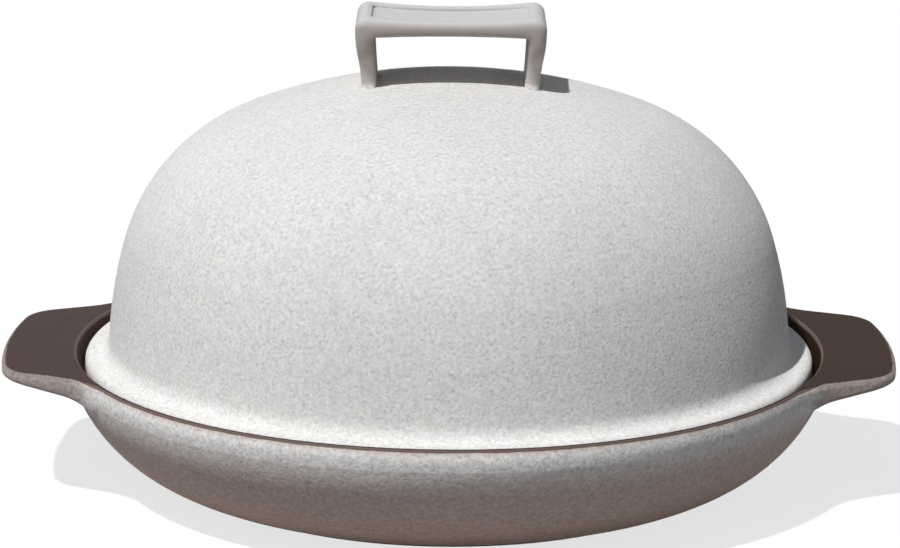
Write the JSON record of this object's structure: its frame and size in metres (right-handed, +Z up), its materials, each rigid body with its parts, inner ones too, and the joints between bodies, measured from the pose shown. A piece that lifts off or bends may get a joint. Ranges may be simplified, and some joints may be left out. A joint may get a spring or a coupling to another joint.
{
  "type": "clay bread baker",
  "caption": "Round clay dish with flat lug ears, and a tall hollow domed lid that rests on a ledge inside the dish's rim and lifts off by a bridge handle, for baking bread.",
  "frame": {"origin": "centre of the dish's foot ring at the level of the table", "axes": "+Z up through the dome's axis; the ears and the handle's bar lie along X; -Y is the front"},
  "size_m": [0.3544, 0.3026, 0.1865],
  "materials": {
    "dish_clay": "speckled matte off-white glaze outside, satin dark brown glaze on the rim, the ears and inside",
    "lid_clay": "matte sandy off-white with fine grey speckle"
  },
  "bodies": {
    "root": {"base_dish": "dish_clay", "dome_lid": "lid_clay"}
  },
  "joints": []
}
